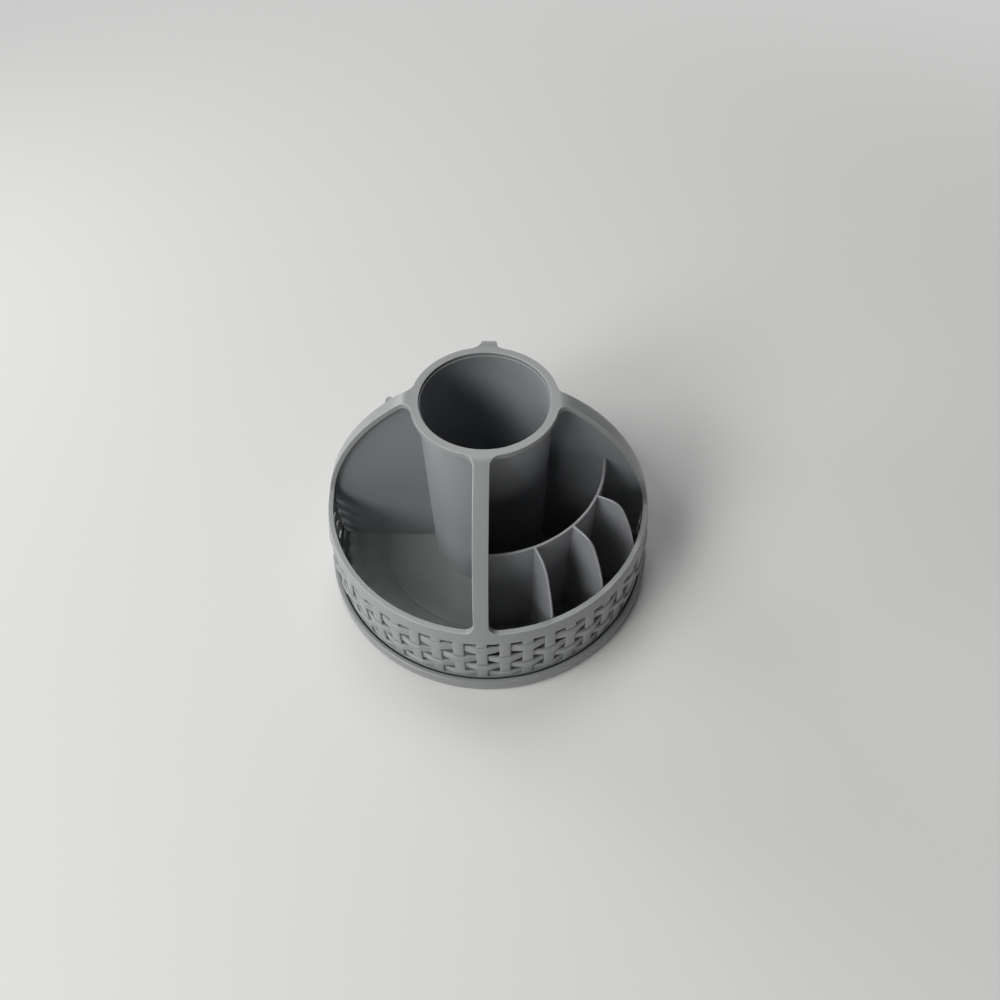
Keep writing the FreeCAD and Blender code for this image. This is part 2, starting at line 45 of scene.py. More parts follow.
# Sizes that the shapes share, the same as in the part's source

BASE_RADIUS, BASE_TOP, BASE_BOTTOM = 100.0, 9.4, 1.0
RIM_INSIDE, PLATE_TOP = 97.0, 3.0
GUIDE_ONE, GUIDE_TWO, GUIDE_THREE, GUIDE_FOUR, GUIDE_TOP = 60.6, 62.6, 69.4, 71.4, 6.0
HUB, HUB_TOP, HUB_BORE = 13.0, 6.8, 7.08
HUB_RECESS, HUB_SHOULDER = 10.6, 4.6
FOOT_CIRCLE, FOOT, FOOT_TOP, FEET = 84.0, 7.0, 2.0, 4

BASE_TRACK, TRAY_TRACK = 3.45, 7.75
TRACK_INSIDE, TRACK_OUTSIDE = 63.5, 68.5
BALL_CIRCLE, BALL, BALLS, BALL_LEVEL = 66.0, 2.0, 12, 5.6
CAGE_INSIDE, CAGE_OUTSIDE, CAGE_BOTTOM, CAGE_TOP = 63.0, 69.0, 4.8, 6.4
BOSS, BOSS_BOTTOM = 7.0, 4.4
PILOT, PILOT_TOP = 1.76, 8.6
WASHER, WASHER_BOTTOM = 9.6, 3.4
SCREW, SCREW_TOP, SCREW_HEAD, SCREW_BOTTOM = 1.7, 8.4, 3.6, 1.8

HEM, TRAY_BOTTOM, TRAY_EDGE = 10.4, 8.2, 96.2
SPIGOT_INSIDE, SPIGOT_OUTSIDE, SPIGOT_TOP = 92.2, 93.7, 13.8
WALL, SPRING, TOP = 96.5, 30.0, 134.3
MOUTH, RING, RING_BOTTOM, CROWN = 33.5, 37.7, 130.9, 41.2
LIP_BOTTOM, TUBE_SEAT = 132.8, 34.4
DOME = ((WALL - CROWN) ** 2 + (TOP - SPRING) ** 2) / (2 * (WALL - CROWN))
PAST_AXIS = DOME - WALL
SHELL, RIB_SIDE = 2.8, 3.95
SILL, BAND = 58.2, 50.0
RING_CORNER, SILL_CORNER = 6.5, 5.5
WEAVE_WALL, SWING = 1.4, 1.2
STAVES, STAVE_WIDTH = 48, 6.2
STRANDS, STRAND_HEIGHT, STRAND_PITCH = 4, 5.4, 9.9

PLAY = 0.2
TUBE, TUBE_INSIDE, TUBE_TOP = 34.2, 32.7, 132.6
DIVIDER, DIVIDER_TOP = 2.0, 130.7
REACH, NOTCH, NOTCH_TOP = 92.9, 92.0, 14.0
LINING = DOME - SHELL - PLAY
REAR_TOP, REAR_ANGLE, REAR_WALL, REAR_CORNER = 81.5, 140.0, 1.6, 6.0
ARC, ARC_WALL = 65.6, 1.4
INSERT_TOP, FIN, FINS, FIN_SPACING, FIN_CORNER = 90.0, 1.2, 3, 21.0, 10.0

# Details that only the looks have

CROWN_BLEND = 2.5
FLOOR_MARK, FLOOR_MARK_DEPTH = (65.0, 65.9, 66.8), 0.12
PAD_GROOVE, PAD_GROOVE_DEPTH = (4.6, 5.0, 5.6, 6.0), 0.5
WALL_OVERLAP = 0.6
SHELL_SOFTNESS, CORE_SOFTNESS, INSERT_SOFTNESS = 0.7, 0.45, 0.35


# Shapes

def new_object(name, data):
    thing = bpy.data.objects.new(name, data)
    bpy.context.scene.collection.objects.link(thing)
    return thing


def mesh_from(name, bm):
    mesh = bpy.data.meshes.new(name)
    bm.to_mesh(mesh)
    bm.free()
    return mesh


def make_piece(name, bm, body, material, node, smooth=35):
    """Turn a bmesh in millimetres into a finished piece that rides on a body."""
    doubles = 0.002
    bmesh.ops.remove_doubles(bm, verts=bm.verts, dist=doubles)
    bmesh.ops.recalc_face_normals(bm, faces=bm.faces)
    bmesh.ops.scale(bm, vec=Vector((MM, MM, MM)), verts=bm.verts)
    return finish_piece(name, mesh_from(name, bm), body, material, node, smooth)


def finish_piece(name, mesh, body, material, node, smooth):
    """Shade a mesh smooth up to an angle, give it its material, and let it stand for a node of the part."""
    for face in mesh.polygons:
        face.use_smooth = True
    mesh.set_sharp_from_angle(angle=math.radians(smooth))
    mesh.materials.clear()
    mesh.materials.append(material)
    piece = new_object(name, mesh)
    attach(piece, body)
    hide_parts(node)
    return piece


def soften(piece, width, highlight_paint, segments=3, angle=30):
    """Round every sharp edge of a piece a little, and give the rounding a paler, glossier material: its paler
    colour is a painted highlight along the edges, its lower roughness a real gloss.
    """
    piece.data.materials.append(highlight_paint)
    bevel = piece.modifiers.new("softened_edges", "BEVEL")
    bevel.width = width * MM
    bevel.segments = segments
    bevel.limit_method = "ANGLE"
    bevel.angle_limit = math.radians(angle)
    bevel.harden_normals = True
    bevel.miter_outer = "MITER_ARC"
    # The rounded edges take the paler edge material: a painted highlight along them.
    bevel.material = 1


def turned(degrees):
    return Matrix.Rotation(math.radians(degrees), 4, "Z")


def around(reach, turn):
    """The point in plan at a distance from a centre and a turn in radians."""
    return Vector((reach * math.cos(turn), reach * math.sin(turn)))


def move_out(bm, degrees, reach, height=0.0):
    """Move a shape from the axis out to its place on a circle."""
    bmesh.ops.translate(bm, vec=turned(degrees) @ Vector((reach, 0, height)), verts=bm.verts)


def rounded(outline, steps=4):
    """Round the corners of a closed outline. Each corner is (x, y) or (x, y, radius)."""
    most = 0.49  # of a side, for the rounding at either end of it
    points = []
    for index, corner in enumerate(outline):
        here = Vector(corner[:2])
        radius = corner[2] if len(corner) > 2 else 0
        if not radius:
            points.append(tuple(here))
            continue
        back = Vector(outline[index - 1][:2]) - here
        ahead = Vector(outline[(index + 1) % len(outline)][:2]) - here
        half = back.angle(ahead) / 2
        reach = min(radius / math.tan(half), back.length * most, ahead.length * most)
        radius = reach * math.tan(half)
        centre = here + (back.normalized() + ahead.normalized()).normalized() * radius / math.sin(half)
        first = here + back.normalized() * reach - centre
        last = here + ahead.normalized() * reach - centre
        turn = first.angle_signed(last)
        for step in range(steps + 1):
            spoke = Matrix.Rotation(-turn * step / steps, 2) @ first
            points.append(tuple(centre + spoke))
    return points


def lathe(outline, steps):
    """Turn a closed outline of (distance, height) about the axis. A point on the axis becomes one pole."""
    bm = bmesh.new()
    rings = []
    for reach, height in outline:
        if reach == 0:
            rings.append([bm.verts.new((0, 0, height))])
            continue
        spots = (around(reach, 2 * math.pi * step / steps) for step in range(steps))
        rings.append([bm.verts.new((*spot, height)) for spot in spots])
    for index, ring in enumerate(rings):
        following = rings[(index + 1) % len(rings)]
        for step in range(steps):
            after = (step + 1) % steps
            corners = [ring[step % len(ring)], ring[after % len(ring)],
                       following[after % len(following)], following[step % len(following)]]
            distinct = list(dict.fromkeys(corners))
            if len(distinct) > 2:
                bm.faces.new(distinct)
    return bm


def add_plate(bm, outline, thickness, place):
    """A flat plate: a closed outline in XZ, given a thickness along Y and put in place."""
    sides = []
    for offset in (-thickness / 2, thickness / 2):
        sides.append([bm.verts.new(place @ Vector((x, offset, z))) for x, z in outline])
    bm.faces.new(sides[0])
    bm.faces.new(reversed(sides[1]))
    for index in range(len(outline)):
        after = (index + 1) % len(outline)
        bm.faces.new((sides[0][index], sides[1][index], sides[1][after], sides[0][after]))


def lining_arc(low, high, steps=28):
    """Points (distance, height) up the inside of the dome between two heights."""
    start, end = (math.asin((height - SPRING) / LINING) for height in (low, high))
    turns = (start + (end - start) * step / steps for step in range(steps + 1))
    return [(LINING * math.cos(turn) - PAST_AXIS, SPRING + LINING * math.sin(turn)) for turn in turns]


def wall_outline(inner, top, corner=0.0, corner_steps=8):
    """Outline of an upright wall, from near the axis out to the dome's lining, with a soft upper corner."""
    crown_at = math.sqrt(LINING ** 2 - (top - SPRING) ** 2) - PAST_AXIS
    low = SPRING + math.sqrt(LINING ** 2 - (REACH + PAST_AXIS) ** 2)
    arc = lining_arc(low, top)
    if corner:
        cut = corner * 0.575  # from the sharp corner to where a rounding of this radius starts
        arc = [point for point in arc if math.dist(point, (crown_at, top)) > cut]
        last = Vector(arc[-1])
        flat = Vector((crown_at - cut, top))
        middle = Vector((crown_at, top))
        shares = (step / corner_steps for step in range(1, corner_steps + 1))
        arc += [tuple(last * (1 - t) ** 2 + middle * 2 * t * (1 - t) + flat * t ** 2) for t in shares]
    return [(inner, HEM), (NOTCH, HEM), (NOTCH, NOTCH_TOP), (REACH, NOTCH_TOP), *arc, (inner, top)]


# Materials

CLOUDS = {"Scale": 22.0, "Detail": 3.0, "Roughness": 0.55}
SMEARS = {"Scale": 90.0, "Detail": 4.0, "Roughness": 0.6}
SCRATCHES = {"Scale": 900.0, "Detail": 3.0, "Roughness": 0.6}
SPARK_GRAIN = {"Detail": 2.0, "Roughness": 0.5}


def new_tree(name):
    material = bpy.data.materials.new(name)
    material.use_nodes = True
    return material, material.node_tree


def group_socket(tree, name, into=True, kind="NodeSocketFloat", value=None):
    socket = tree.interface.new_socket(name, in_out="INPUT" if into else "OUTPUT", socket_type=kind)
    if value is not None:
        socket.default_value = value


def add_node(tree, kind, inputs=(), **settings):
    """Add a node, set its settings, and fill its inputs with values or links."""
    node = tree.nodes.new(kind)
    for key, value in settings.items():
        setattr(node, key, value)
    for key, value in dict(inputs).items():
        if isinstance(value, bpy.types.NodeSocket):
            tree.links.new(value, node.inputs[key])
        else:
            node.inputs[key].default_value = value
    return node


def maths(tree, operation, *values):
    return add_node(tree, "ShaderNodeMath", dict(enumerate(values)), operation=operation).outputs[0]


def noise(tree, place, look):
    return add_node(tree, "ShaderNodeTexNoise", {"Vector": place, **look}).outputs["Fac"]


def varied(tree, pattern, spread, middle):
    """A value that a noise moves up and down about its middle."""
    return maths(tree, "MULTIPLY_ADD", maths(tree, "SUBTRACT", pattern, 0.5), spread, middle)


def moulded_surface():
    """Shared look of moulded plastic: fine spark grain, slow tone changes and a faint polish that varies."""
    tree = bpy.data.node_groups.new("moulded surface", "ShaderNodeTree")
    group_socket(tree, "Colour", kind="NodeSocketColor", value=(0.1, 0.1, 0.1, 1.0))
    for name, value in (("Tone", 0.05), ("Grain size", 0.35), ("Grain depth", 0.1), ("Roughness", 0.4),
                        ("Polish spread", 0.06)):
        group_socket(tree, name, value=value)
    for name, kind in (("Colour", "NodeSocketColor"), ("Roughness", "NodeSocketFloat"),
                       ("Normal", "NodeSocketVector")):
        group_socket(tree, name, into=False, kind=kind)
    given = add_node(tree, "NodeGroupInput").outputs
    place = add_node(tree, "ShaderNodeTexCoord").outputs["Object"]
    shade = varied(tree, noise(tree, place, CLOUDS), given["Tone"], 1.0)
    tinted = add_node(tree, "ShaderNodeHueSaturation", {"Color": given["Colour"], "Value": shade})
    polish = varied(tree, noise(tree, place, SMEARS), given["Polish spread"], given["Roughness"])
    frequency = maths(tree, "DIVIDE", 1.0, maths(tree, "MULTIPLY", given["Grain size"], MM))
    grain = noise(tree, place, {"Scale": frequency, **SPARK_GRAIN})
    depth = maths(tree, "MULTIPLY", given["Grain depth"], MM)
    bump = add_node(tree, "ShaderNodeBump", {"Strength": 1.0, "Height": grain, "Distance": depth})
    add_node(tree, "NodeGroupOutput", {"Colour": tinted.outputs["Color"], "Roughness": polish,
                                       "Normal": bump.outputs["Normal"]})
    return tree


MOULDED = moulded_surface()


def plastic(name, colour, roughness, depth, tone=0.05, grain=0.4, spread=0.08):
    """Moulded plastic or rubber. The grain's size and depth are in millimetres."""
    material, tree = new_tree(name)
    shader = tree.nodes["Principled BSDF"]
    surface = add_node(tree, "ShaderNodeGroup", node_tree=MOULDED)
    for key, value in (("Colour", (*colour, 1.0)), ("Tone", tone), ("Grain size", grain),
                       ("Grain depth", depth), ("Roughness", roughness), ("Polish spread", spread)):
        surface.inputs[key].default_value = value
    for key, socket in (("Colour", "Base Color"), ("Roughness", "Roughness"), ("Normal", "Normal")):
        tree.links.new(surface.outputs[key], shader.inputs[socket])
    return material


def steel(name, colour, roughness, scratch):
    """Turned or ground steel with fine marks."""
    material, tree = new_tree(name)
    shader = tree.nodes["Principled BSDF"]
    place = add_node(tree, "ShaderNodeTexCoord").outputs["Object"]
    marked = varied(tree, noise(tree, place, SCRATCHES), scratch, roughness)
    tree.links.new(marked, shader.inputs["Roughness"])
    shader.inputs["Base Color"].default_value = (*colour, 1.0)
    shader.inputs["Metallic"].default_value = 1.0
    return material


# The two edge materials are paler than the plastics they border: a painted highlight along rounded edges.
# Their lower roughness is real gloss.
SHELL_PLASTIC = plastic("shell plastic", (0.262, 0.272, 0.278), roughness=0.31, depth=0.012)
SHELL_EDGE_HIGHLIGHT = plastic("shell edge highlight", (0.36, 0.373, 0.38), roughness=0.27, depth=0.006)
CORE_PLASTIC = plastic("core plastic", (0.228, 0.236, 0.250), roughness=0.36, depth=0.015)
INSERT_PLASTIC = plastic("insert plastic", (0.240, 0.247, 0.260), roughness=0.38, depth=0.015)
INNER_EDGE_HIGHLIGHT = plastic("inner edge highlight", (0.36, 0.37, 0.39), roughness=0.30, depth=0.008)
TRAY_PLASTIC = plastic("tray plastic", (0.215, 0.232, 0.226), roughness=0.20, depth=0.006, spread=0.05)
BASE_PLASTIC = plastic("base plastic", (0.232, 0.241, 0.246), roughness=0.34, depth=0.012)
CAGE_PLASTIC = plastic("cage plastic", (0.70, 0.70, 0.66), roughness=0.45, depth=0.01)
RUBBER = plastic("pad rubber", (0.012, 0.012, 0.012), roughness=0.72, depth=0.05,
                 tone=0.2, grain=0.5, spread=0.12)
BALL_STEEL = steel("ball steel", (0.70, 0.70, 0.71), roughness=0.12, scratch=0.05)
SCREW_STEEL = steel("screw steel", (0.56, 0.56, 0.57), roughness=0.30, scratch=0.25)


# Turntable base: the dish that stays on the table, with guide walls for the balls and a hub for the pivot

def make_base():
    bm = lathe(rounded([
        (HUB_RECESS, BASE_BOTTOM, 0.3), (BASE_RADIUS, BASE_BOTTOM, 0.8), (BASE_RADIUS, BASE_TOP, 2.4),
        (RIM_INSIDE, BASE_TOP, 0.4), (RIM_INSIDE, PLATE_TOP, 0.4),
        (GUIDE_FOUR, PLATE_TOP, 0.3), (GUIDE_FOUR, GUIDE_TOP, 0.3), (GUIDE_THREE, GUIDE_TOP, 0.3),
        (GUIDE_THREE, BASE_TRACK, 0.2), (GUIDE_TWO, BASE_TRACK, 0.2),
        (GUIDE_TWO, GUIDE_TOP, 0.3), (GUIDE_ONE, GUIDE_TOP, 0.3), (GUIDE_ONE, PLATE_TOP, 0.3),
        (HUB, PLATE_TOP, 0.3), (HUB, HUB_TOP, 0.3), (HUB_BORE, HUB_TOP, 0.2),
        (HUB_BORE, HUB_SHOULDER, 0.1), (HUB_RECESS, HUB_SHOULDER, 0.2),
    ]), steps=256)
    make_piece("base_dish", bm, "base", BASE_PLASTIC, "turntable_base")


def make_feet():
    first, second, third, fourth = PAD_GROOVE
    outline = rounded([
        (0, 0), (first, 0, 0.2), (second, PAD_GROOVE_DEPTH, 0.2), (third, PAD_GROOVE_DEPTH, 0.2),
        (fourth, 0, 0.2), (FOOT, 0, 0.45), (FOOT, FOOT_TOP, 0.2), (0, FOOT_TOP),
    ])
    for index in range(FEET):
        bm = lathe(outline, steps=64)
        move_out(bm, 360 * (index + 0.5) / FEET, FOOT_CIRCLE)
        make_piece(f"rubber_pad_{index + 1}", bm, "base", RUBBER, f"foot_pad_{index + 1}")


# Woven wall: rings that pass over and under uprights, made by one tree

WEAVE_SIZES = (
    ("Wall radius", WALL), ("Wall thickness", WEAVE_WALL), ("Dome radius", DOME), ("Spring level", SPRING),
    ("Lowest level", HEM), ("Band level", BAND), ("Root level", BAND + 3.5),
    ("Rings", STRANDS), ("Ring height", STRAND_HEIGHT), ("Ring pitch", STRAND_PITCH),
    ("Ring rounding", 0.7), ("Ring shoulder", 0.65), ("Ring lift", 0.55), ("Ring tuck", SWING + 0.25),
    ("Ring back", 0.9), ("Hem share", -0.3), ("Top share", 0.3),
    ("Uprights", STAVES), ("Upright width", STAVE_WIDTH), ("Upright rounding", 0.7),
    ("Upright shoulder", 1.0), ("Upright tuck", SWING - 0.2), ("Upright recess", 0.4), ("Root recess", 0.6),
    ("Block lift", 0.3),
)
WHOLE_NUMBERS = ("Rings", "Uprights")

# Points on a ring from one upright to the next, up an upright, and round a corner of their profiles
RING_POINTS, UPRIGHT_POINTS, CORNER_POINTS = 12, 108, 2

# Where the wave from under to over slopes, from its trough at -1 to its crest at 1
RING_SLOPE, UPRIGHT_SLOPE = (-0.56, 0.56), (-0.40, -0.335)

# Bounds of other slopes, in ring pitches: up from the lowest ring, and from the top ring
LOWEST_TO_NEXT = (0.4, 0.6)
NEXT_TO_TOP, ROOT_SLOPE = (-0.6, -0.4), (0.30, 0.35)


def make_weave_tree():
    tree = bpy.data.node_groups.new("woven wall", "GeometryNodeTree")
    for name, value in WEAVE_SIZES:
        kind = "NodeSocketInt" if name in WHOLE_NUMBERS else "NodeSocketFloat"
        group_socket(tree, name, kind=kind, value=value)
    group_socket(tree, "Material", kind="NodeSocketMaterial")
    group_socket(tree, "Geometry", into=False, kind="NodeSocketGeometry")
    given = add_node(tree, "NodeGroupInput").outputs

    def joined(x, y, z):
        return add_node(tree, "ShaderNodeCombineXYZ", {"X": x, "Y": y, "Z": z}).outputs[0]

    def ramp(value, between, first, last):
        """A value that runs from first to last while another runs between two bounds."""
        low, high = between
        return add_node(tree, "ShaderNodeMapRange", {"Value": value, "From Min": low, "From Max": high,
                                                     "To Min": first, "To Max": last}).outputs[0]

    def profile(width, rounding, shoulder):
        """A rectangle whose corners are rounded over its width, and by a share of that into its thickness."""
        deeper = maths(tree, "DIVIDE", given["Wall thickness"], shoulder)
        sheet = add_node(tree, "GeometryNodeCurvePrimitiveQuadrilateral",
                         {"Width": deeper, "Height": width}).outputs[0]
        fillets = {"Curve": sheet, "Count": CORNER_POINTS, "Radius": rounding}
        corners = add_node(tree, "GeometryNodeFilletCurve", fillets, mode="POLY").outputs[0]
        return add_node(tree, "GeometryNodeTransform",
                        {"Geometry": corners, "Scale": joined(shoulder, 1.0, 1.0)}).outputs[0]

    def sweep(path, section, caps):
        upright = add_node(tree, "GeometryNodeSetCurveNormal", {"Curve": path}, mode="Z_UP").outputs[0]
        return add_node(tree, "GeometryNodeCurveToMesh",
                        {"Curve": upright, "Profile Curve": section, "Fill Caps": caps}).outputs[0]

    def repeated(spots, shape, **stance):
        copies = add_node(tree, "GeometryNodeInstanceOnPoints",
                          {"Points": spots, "Instance": shape, **stance}).outputs[0]
        return add_node(tree, "GeometryNodeRealizeInstances", {"Geometry": copies}).outputs[0]

    # How far round the wall and up it a point lies
    position = add_node(tree, "GeometryNodeInputPosition").outputs[0]
    x, y, z = add_node(tree, "ShaderNodeSeparateXYZ", {0: position}).outputs
    outward = joined(x, y, 0.0)
    turn = maths(tree, "ARCTAN2", x, maths(tree, "MULTIPLY", y, -1.0))
    half_count = maths(tree, "DIVIDE", given["Uprights"], 2.0)
    across = maths(tree, "COSINE", maths(tree, "MULTIPLY", turn, half_count))
    middle = maths(tree, "ADD", given["Lowest level"], maths(tree, "DIVIDE", given["Ring height"], 2.0))
    rise = maths(tree, "DIVIDE", maths(tree, "SUBTRACT", z, middle), given["Ring pitch"])
    top_ring = maths(tree, "SUBTRACT", given["Rings"], 1.0)
    from_top = maths(tree, "SUBTRACT", rise, top_ring)
    half_wall = maths(tree, "DIVIDE", given["Wall thickness"], 2.0)
    wall_middle = maths(tree, "SUBTRACT", given["Wall radius"], half_wall)

    def tucked(wave, between):
        """1 where a wave has its trough, 0 where it has its crest, and a straight slope between."""
        slope = maths(tree, "MULTIPLY", maths(tree, "ARCSINE", wave), 2 / math.pi)
        return ramp(slope, between, 1.0, 0.0)

    def moved(mesh, distance):
        """Move points in towards the axis by a distance."""
        unit = add_node(tree, "ShaderNodeVectorMath", {0: outward}, operation="NORMALIZE").outputs[0]
        back = maths(tree, "MULTIPLY", distance, -1.0)
        step = add_node(tree, "ShaderNodeVectorMath", {0: unit, "Scale": back}, operation="SCALE").outputs[0]
        return add_node(tree, "GeometryNodeSetPosition", {"Geometry": mesh, "Offset": step}).outputs[0]

    # Rings: the face swings in and out, the back is a plain round wall
    points = maths(tree, "MULTIPLY", given["Uprights"], RING_POINTS)
    circle = add_node(tree, "GeometryNodeCurvePrimitiveCircle",
                      {"Resolution": points, "Radius": wall_middle}).outputs[0]
    section = profile(given["Ring height"], given["Ring rounding"], given["Ring shoulder"])
    stack = add_node(tree, "GeometryNodeMeshLine",
                     {"Count": given["Rings"], "Start Location": joined(0.0, 0.0, middle),
                      "Offset": joined(0.0, 0.0, given["Ring pitch"])}).outputs[0]
    rings = repeated(stack, sweep(circle, section, False))
    level = maths(tree, "COSINE", maths(tree, "MULTIPLY", maths(tree, "ROUND", rise), math.pi))
    tuck = tucked(maths(tree, "MULTIPLY", across, maths(tree, "MULTIPLY", level, -1.0)), RING_SLOPE)
    hem_share = ramp(rise, LOWEST_TO_NEXT, given["Hem share"], 1.0)
    top_share = ramp(from_top, NEXT_TO_TOP, 1.0, given["Top share"])
    lift = maths(tree, "MULTIPLY", maths(tree, "MULTIPLY", hem_share, top_share), given["Ring lift"])
    swing = maths(tree, "ADD", given["Ring tuck"], lift)
    face = maths(tree, "SUBTRACT", maths(tree, "MULTIPLY", tuck, swing), lift)
    reach = add_node(tree, "ShaderNodeVectorMath", {0: outward}, operation="LENGTH").outputs["Value"]
    inside = maths(tree, "SUBTRACT", given["Wall radius"], reach)
    depth = maths(tree, "DIVIDE", inside, given["Wall thickness"])
    rings = moved(rings, ramp(depth, (0.0, 1.0), face, given["Ring back"]))

    # Uprights: each is one straight block between two slopes, stays out above the top ring and runs in
    # behind the band at its root
    strip = add_node(tree, "GeometryNodeCurvePrimitiveLine",
                     {"Start": joined(0.0, 0.0, given["Lowest level"]),
                      "End": joined(0.0, 0.0, given["Root level"])}).outputs[0]
    strip = add_node(tree, "GeometryNodeResampleCurve", {"Curve": strip, "Count": UPRIGHT_POINTS}).outputs[0]
    section = profile(given["Upright width"], given["Upright rounding"], given["Upright shoulder"])
    spots = add_node(tree, "GeometryNodeMeshCircle",
                     {"Vertices": given["Uprights"], "Radius": wall_middle}).outputs[0]
    facing = add_node(tree, "FunctionNodeAlignRotationToVector", {"Vector": outward}, axis="X").outputs[0]
    uprights = repeated(spots, sweep(strip, section, True), Rotation=facing)
    lifted = maths(tree, "SUBTRACT", rise, maths(tree, "DIVIDE", given["Block lift"], given["Ring pitch"]))
    between = maths(tree, "MINIMUM", maths(tree, "MAXIMUM", lifted, 0.0), top_ring)
    upward = maths(tree, "COSINE", maths(tree, "MULTIPLY", between, math.pi))
    tuck = tucked(maths(tree, "MULTIPLY", upward, maths(tree, "SIGN", across)), UPRIGHT_SLOPE)
    tuck = maths(tree, "MULTIPLY", tuck, ramp(from_top, ROOT_SLOPE, 1.0, 0.0))
    band = (given["Band level"], given["Root level"])
    recess = ramp(z, band, given["Upright recess"], given["Root recess"])
    uprights = moved(uprights, maths(tree, "MULTIPLY_ADD", tuck, given["Upright tuck"], recess))

    # Both follow the dome
    weave = add_node(tree, "GeometryNodeJoinGeometry")
    tree.links.new(rings, weave.inputs[0])
    tree.links.new(uprights, weave.inputs[0])
    above = maths(tree, "MAXIMUM", maths(tree, "SUBTRACT", z, given["Spring level"]), 0.0)
    squares = maths(tree, "SUBTRACT", maths(tree, "MULTIPLY", given["Dome radius"], given["Dome radius"]),
                    maths(tree, "MULTIPLY", above, above))
    lean = maths(tree, "SUBTRACT", given["Dome radius"], maths(tree, "SQRT", squares))
    coloured = add_node(tree, "GeometryNodeSetMaterial",
                        {"Geometry": moved(weave.outputs[0], lean), "Material": given["Material"]}).outputs[0]
    add_node(tree, "NodeGroupOutput", {"Geometry": coloured})
    return tree


def baked(name, tree, values):
    """Run a geometry tree with its inputs set, and return the plain mesh, scaled to metres."""
    holder = new_object(name, bpy.data.meshes.new(name))
    modifier = holder.modifiers.new(name, "NODES")
    modifier.node_group = tree
    for item in tree.interface.items_tree:
        if item.in_out == "INPUT" and item.name in values:
            modifier[item.identifier] = values[item.name]
    evaluated = holder.evaluated_get(bpy.context.evaluated_depsgraph_get())
    mesh = bpy.data.meshes.new_from_object(evaluated)
    holder.modifiers.remove(modifier)
    bpy.data.objects.remove(holder)
    mesh.transform(Matrix.Scale(MM, 4))
    return mesh


def make_weave():
    mesh = baked("woven wall", make_weave_tree(), {"Material": SHELL_PLASTIC})
    finish_piece("woven_wall", mesh, "caddy", SHELL_PLASTIC, "woven_shell", smooth=50)


# Dome frame: mouth ring, four ribs and the sill band, as one mesh round four windows

RING_STEPS, CORNER_STEPS, RIB_STEPS, SILL_STEPS = 12, 8, 28, 28
FRAME_ROWS, ROW_SPREAD = 5, 1.3

# The dome's two faces: radius of the arc, level of the flat top, and the edge round the mouth
OUTER, INNER = (DOME, TOP, MOUTH), (DOME - SHELL, RING_BOTTOM, TUBE_SEAT)


def dome_line(height, radius):
    """Distance of the dome from the axis at a height: upright low down, on its arc higher up."""
    rise = max(height - SPRING, 0.0)
    return math.sqrt(radius ** 2 - rise ** 2) - PAST_AXIS


def dome_height(reach, radius, top):
    """Height of the dome at a distance from the axis, where its flat crown runs softly into the arc."""
    along = min(reach + PAST_AXIS, radius)
    arc = SPRING + math.sqrt(radius ** 2 - along ** 2)
    near = max(CROWN_BLEND - abs(arc - top), 0.0)
    return min(arc, top) - near ** 2 / (4 * CROWN_BLEND)


def dome_spot(plan, face):
    """The point of one of the dome's faces above a point in plan."""
    radius, top, _ = face
    return Vector((*plan, dome_height(math.hypot(*plan), radius, top)))


def beside_rib(offset, height, radius):
    """A point of the dome at a height, set off sideways from the middle of the rib."""
    return Vector((math.sqrt(dome_line(height, radius) ** 2 - offset ** 2), offset, height))


def on_dome(point, face):
    """Move a point that lies near one of the dome's faces onto it."""
    radius, top, _ = face
    reach = math.hypot(point.x, point.y)
    away = Vector((reach + PAST_AXIS, point.z - SPRING))
    away *= radius / away.length
    reach_there, height = away.x - PAST_AXIS, SPRING + away.y
    if height > top:
        return Vector((point.x, point.y, dome_height(reach, radius, top)))
    scale = reach_there / reach
    if height > top - CROWN_BLEND:
        height = dome_height(reach_there, radius, top)
    return Vector((point.x * scale, point.y * scale, height))


def window_half(face):
    """Edge of a window beside the rib at 0 degrees, from the middle of its ring side to that of its sill.

    Each point comes with its partner on the border: the mouth's edge, the rib's middle, the band's edge."""
    radius, _, mouth = face
    eighth = math.pi / 4
    side = RIB_SIDE + RING_CORNER
    reach = math.sqrt((RING + RING_CORNER) ** 2 - side ** 2)
    first = math.atan2(side, reach)
    pairs = []
    for step in range(RING_STEPS):
        turn = eighth + (first - eighth) * step / RING_STEPS
        border = eighth * (1 - step / RING_STEPS)
        pairs.append((dome_spot(around(RING, turn), face), dome_spot(around(mouth, border), face)))
    for step in range(CORNER_STEPS + 1):
        turn = math.pi + first + (math.pi / 2 - first) * step / CORNER_STEPS
        plan = Vector((reach, side)) + around(RING_CORNER, turn)
        border = mouth + (reach - mouth) * step / CORNER_STEPS
        pairs.append((dome_spot(plan, face), dome_spot((border, 0), face)))
    top = pairs[-1][0].z
    low = SILL + SILL_CORNER
    for step in range(1, RIB_STEPS):
        height = top + (low - top) * step / RIB_STEPS
        pairs.append((beside_rib(RIB_SIDE, height, radius), beside_rib(0, height, radius)))
    for step in range(CORNER_STEPS + 1):
        turn = math.pi / 2 * step / CORNER_STEPS
        offset = RIB_SIDE + SILL_CORNER * (1 - math.cos(turn))
        edge = beside_rib(offset, low - SILL_CORNER * math.sin(turn), radius)
        pairs.append((edge, beside_rib(0, low + (BAND - low) * step / CORNER_STEPS, radius)))
    first = math.asin((RIB_SIDE + SILL_CORNER) / dome_line(SILL, radius))
    for step in range(1, SILL_STEPS + 1):
        turn = first + (eighth - first) * step / SILL_STEPS
        edge = around(dome_line(SILL, radius), turn)
        border = around(dome_line(BAND, radius), eighth * step / SILL_STEPS)
        pairs.append((Vector((*edge, SILL)), Vector((*border, BAND))))
    return pairs


